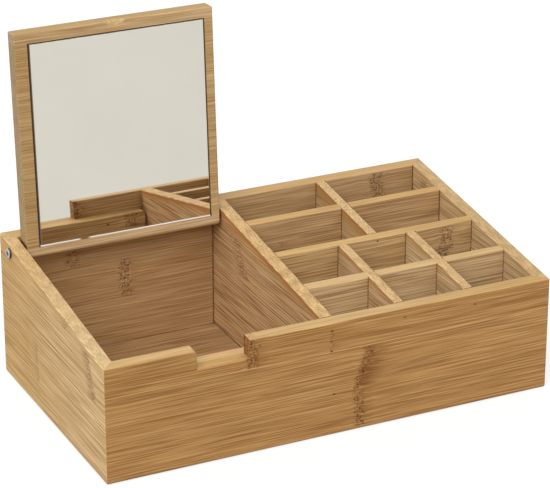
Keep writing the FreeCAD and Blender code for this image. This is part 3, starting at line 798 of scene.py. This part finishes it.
def dressGlass(pane):
    finish, tree, shader, place, normal = newFinish("silvered_glass")
    low, high = reach(pane["node"], "X")
    halfHeight = pane["height"] / 2
    centre = hinge.dot(lidUp) + pane["foot"] + halfHeight
    up = vectorCalc(tree, "DOT_PRODUCT", place["all"], lidUp)
    sideways = apart(tree, place["X"], (low + high) / 2)
    edge = calc(tree, "MINIMUM", calc(tree, "SUBTRACT", (high - low) / 2, sideways),
                calc(tree, "SUBTRACT", halfHeight, apart(tree, up, centre)))
    chips = grainNoise(tree, place["all"], pane["chipGrain"], pane["chipSeed"])
    fromChip = apart(tree, place["X"], pane["chipMiddle"])
    whole = fade(tree, add(tree, fromChip, times(tree, chips, pane["chipStray"])), *pane["chipSpan"])
    rise = add(tree, up, halfHeight - centre)
    seam = times(tree, fade(tree, rise, pane["footSeam"], pane["footSeam"] * pane["footCore"]), whole)
    shadedEdge = fade(tree, add(tree, edge, times(tree, chips, pane["seamStray"])),
                  pane["seamWidth"], pane["seamWidth"] * pane["seamCore"])
    # painted shade on the glass's side faces too, so that they show no bright reflection
    slant = fade(tree, calc(tree, "ABSOLUTE", normal["X"]), *pane["slant"])
    shadedEdge = most(tree, [times(tree, shadedEdge, pane["seamForce"]), slant])
    dull = most(tree, [seam, shadedEdge])
    haze = grainNoise(tree, place["all"], pane["dustGrain"], pane["dustSeed"], pane["dustDetail"])
    haze = fade(tree, haze, *pane["dustSpan"])
    colour = mixColour(tree, haze, pane["colour"], pane["dust"])
    colour = mixColour(tree, shadedEdge, colour, pane["edgeShade"])
    colour = mixColour(tree, seam, colour, pane["seam"])
    tree.links.new(colour, shader.inputs["Base Color"])
    tree.links.new(calc(tree, "SUBTRACT", 1.0, dull), shader.inputs["Metallic"])
    rough = add(tree, times(tree, haze, pane["dustRough"]), pane["roughness"])
    tree.links.new(add(tree, rough, times(tree, dull, pane["seamRough"])), shader.inputs["Roughness"])
    dress(pane["node"], finish)
    print("glass on", pane["node"])


dressGlass(glass)

# white foam tape behind the glass
tape = {
    "node": "mirror_tape",
    "light": (0.800, 0.790, 0.760, 1),
    "shade": (0.640, 0.625, 0.590, 1),
    "cell": (0.6, 0.6, 0.6), "cellSeed": 51.0, "cellRadius": 0.55,
    "cloud": (9, 9, 9), "cloudSeed": 52.0,
    "roughness": 0.68, "cloudRough": 0.15,
    "bumpForce": 0.4, "bumpDepth": 0.1,
}


def dressTape(strips):
    finish, tree, shader, place, _ = newFinish("foam_tape")
    bubble, _ = spots(tree, place["all"], strips["cell"], strips["cellSeed"], strips["cellRadius"])
    cloud = add(tree, grainNoise(tree, place["all"], strips["cloud"], strips["cloudSeed"]), 0.5)
    colour = mixColour(tree, times(tree, bubble, cloud), strips["light"], strips["shade"])
    tree.links.new(colour, shader.inputs["Base Color"])
    rough = add(tree, times(tree, cloud, strips["cloudRough"]), strips["roughness"])
    tree.links.new(rough, shader.inputs["Roughness"])
    addBump(tree, shader, bubble, strips["bumpForce"], strips["bumpDepth"])
    dress(strips["node"], finish)
    print("foam on", strips["node"])


dressTape(tape)

# the two hinge screws: turned steel, worn, with painted shade in the cross, under the head and on its flank
leftScrew = {
    "node": "hinge_screw_left", "outward": -1, "headHeight": 1.4,
    "steel": (0.700, 0.690, 0.670, 1), "worn": (0.450, 0.430, 0.400, 1), "shade": (0.040, 0.034, 0.028, 1),
    "wearGrain": (1.2, 1.2, 1.2), "wearSeed": 61.0, "wearDetail": 3.0, "wearForce": 0.8, "wearLevel": 0.15,
    "crossDepth": (0.12, 0.5), "crossRadius": (2.1, 1.9),
    "seat": (0.8, 0.1), "seatForce": 0.9, "flank": (0.80, 0.30), "flankForce": 0.92,
    "ringsPerMm": 4.0, "roughness": 0.20, "ringRough": 0.2, "darkRough": 0.3,
    "bumpForce": 0.3, "bumpDepth": 0.05,
}
rightScrew = dict(leftScrew, node="hinge_screw_right", outward=1)


def dressScrew(screw):
    finish, tree, shader, place, normal = newFinish(screw["node"] + "_steel")
    low, high = reach(screw["node"], "X")
    headFace = low if screw["outward"] < 0 else high
    seat = headFace - screw["outward"] * screw["headHeight"]
    radius = vectorCalc(tree, "LENGTH", joined(tree, 0.0, add(tree, place["Y"], -hinge.y),
                                               add(tree, place["Z"], -hinge.z)))
    rings = addNode(tree, "ShaderNodeTexNoise", noise_dimensions="1D")
    plug(tree, rings.inputs["W"], times(tree, radius, screw["ringsPerMm"]))
    rings.inputs["Scale"].default_value = 1.0
    wear = grainNoise(tree, place["all"], screw["wearGrain"], screw["wearSeed"], screw["wearDetail"])
    wear = add(tree, times(tree, wear, screw["wearForce"]), screw["wearLevel"])
    # painted shade: in the cross, in the crease under the head and on the head's flank
    inCross = times(tree, fade(tree, apart(tree, place["X"], headFace), *screw["crossDepth"]),
                    fade(tree, radius, *screw["crossRadius"]))
    atSeat = times(tree, fade(tree, apart(tree, place["X"], seat), *screw["seat"]), screw["seatForce"])
    flank = fade(tree, calc(tree, "ABSOLUTE", normal["X"]), *screw["flank"])
    dark = most(tree, [inCross, atSeat, times(tree, flank, screw["flankForce"])])
    colour = mixColour(tree, wear, screw["steel"], screw["worn"])
    colour = mixColour(tree, dark, colour, screw["shade"])
    tree.links.new(colour, shader.inputs["Base Color"])
    shader.inputs["Metallic"].default_value = 1.0
    rough = add(tree, times(tree, rings.outputs[0], screw["ringRough"]), screw["roughness"])
    tree.links.new(add(tree, rough, times(tree, dark, screw["darkRough"])), shader.inputs["Roughness"])
    addBump(tree, shader, rings.outputs[0], screw["bumpForce"], screw["bumpDepth"])
    dress(screw["node"], finish)
    print("steel on", screw["node"])


dressScrew(leftScrew)
dressScrew(rightScrew)

# floor, room light and lamps, in metres
studio = {
    "floorSize": 8.0,
    "floorDrop": 0.0001,
    "floorColour": (0.40, 0.40, 0.40, 1),  # of the lit floor
    "floorGlow": (0.62, 0.62, 0.62, 1),  # added for the camera, so that it is white away from the object
    "mirroredGlow": (0.26, 0.25, 0.21, 1),  # added where glass, steel or sheen shows the floor
    "roomColour": (1, 1, 1, 1),
    "ambient": 0.46,
    "aim": (0, 0, 0.06),
    "keyLamp": {"place": (-1.60, -1.45, 2.30), "size": 2.4, "watts": 80.0},
    "fillLamp": {"place": (1.50, -2.20, 1.90), "size": 2.0, "watts": 18.0},
    "backLamp": {"place": (0.30, 1.70, 2.30), "size": 2.0, "watts": 22.0},
}


def seenDirectly(tree):
    path = addNode(tree, "ShaderNodeLightPath")
    kinds = ("Is Camera Ray", "Is Glossy Ray", "Is Transmission Ray")
    return most(tree, [path.outputs[kind] for kind in kinds])


def buildFloor(room):
    half = room["floorSize"] / 2
    mesh = bpy.data.meshes.new("studio_floor")
    corners = [(-half, -half, 0), (half, -half, 0), (half, half, 0), (-half, half, 0)]
    mesh.from_pydata(corners, [], [(0, 1, 2, 3)])
    floor = bpy.data.objects.new("studio_floor", mesh)
    floor.location.z = -room["floorDrop"]
    bpy.context.scene.collection.objects.link(floor)
    finish = bpy.data.materials.new("studio_floor_white")
    finish.use_nodes = True
    tree = finish.node_tree
    tree.nodes.clear()
    output = addNode(tree, "ShaderNodeOutputMaterial")
    lit = addNode(tree, "ShaderNodeBsdfDiffuse")
    lit.inputs["Color"].default_value = room["floorColour"]
    glow = addNode(tree, "ShaderNodeEmission")
    path = addNode(tree, "ShaderNodeLightPath")
    glowColour = mixColour(tree, path.outputs["Is Glossy Ray"], room["floorGlow"], room["mirroredGlow"])
    tree.links.new(glowColour, glow.inputs["Color"])
    both = addNode(tree, "ShaderNodeAddShader")
    tree.links.new(lit.outputs[0], both.inputs[0])
    tree.links.new(glow.outputs[0], both.inputs[1])
    choose = addNode(tree, "ShaderNodeMixShader")
    tree.links.new(seenDirectly(tree), choose.inputs[0])
    tree.links.new(lit.outputs[0], choose.inputs[1])
    tree.links.new(both.outputs[0], choose.inputs[2])
    tree.links.new(choose.outputs[0], output.inputs["Surface"])
    mesh.materials.append(finish)


def buildRoomLight(room):
    world = bpy.data.worlds.new("studio_room")
    bpy.context.scene.world = world
    world.use_nodes = True
    tree = world.node_tree
    tree.nodes.clear()
    output = addNode(tree, "ShaderNodeOutputWorld")
    sky = addNode(tree, "ShaderNodeBackground")
    sky.inputs["Color"].default_value = room["roomColour"]
    strength = add(tree, times(tree, seenDirectly(tree), 1.0 - room["ambient"]), room["ambient"])
    tree.links.new(strength, sky.inputs["Strength"])
    tree.links.new(sky.outputs[0], output.inputs["Surface"])


def addLamp(name, lamp, target):
    data = bpy.data.lights.new(name, "AREA")
    data.energy = lamp["watts"]
    data.size = lamp["size"]
    holder = bpy.data.objects.new(name, data)
    holder.location = lamp["place"]
    aim = Vector(target) - Vector(lamp["place"])
    holder.rotation_euler = aim.to_track_quat("-Z", "Y").to_euler()
    bpy.context.scene.collection.objects.link(holder)


buildFloor(studio)
buildRoomLight(studio)
addLamp("key_softbox", studio["keyLamp"], studio["aim"])
addLamp("fill_softbox", studio["fillLamp"], studio["aim"])
addLamp("back_softbox", studio["backLamp"], studio["aim"])
print("studio lit")

# camera at the photograph's angle
viewpoint = {
    "lookAt": (0.00506, 0.00853, 0.08313),
    "distance": 1.47397,
    "azimuth": 25.772,  # degrees from straight ahead, towards the left side
    "elevation": 23.139,
    "lens": 164.27,
    "sensor": 36.0,
    "nearest": 0.05,
}


def addCamera(view):
    azimuth, elevation = math.radians(view["azimuth"]), math.radians(view["elevation"])
    forward = Vector((math.sin(azimuth) * math.cos(elevation), math.cos(azimuth) * math.cos(elevation),
                      -math.sin(elevation)))
    data = bpy.data.cameras.new("front_left_view")
    data.lens = view["lens"]
    data.sensor_width = view["sensor"]
    data.sensor_fit = "HORIZONTAL"
    data.clip_start = view["nearest"]
    camera = bpy.data.objects.new("front_left_view", data)
    camera.location = Vector(view["lookAt"]) - forward * view["distance"]
    camera.rotation_euler = forward.to_track_quat("-Z", "Y").to_euler()
    bpy.context.scene.collection.objects.link(camera)
    bpy.context.scene.camera = camera


addCamera(viewpoint)
bpy.context.scene.view_settings.view_transform = "Standard"
print("camera set")
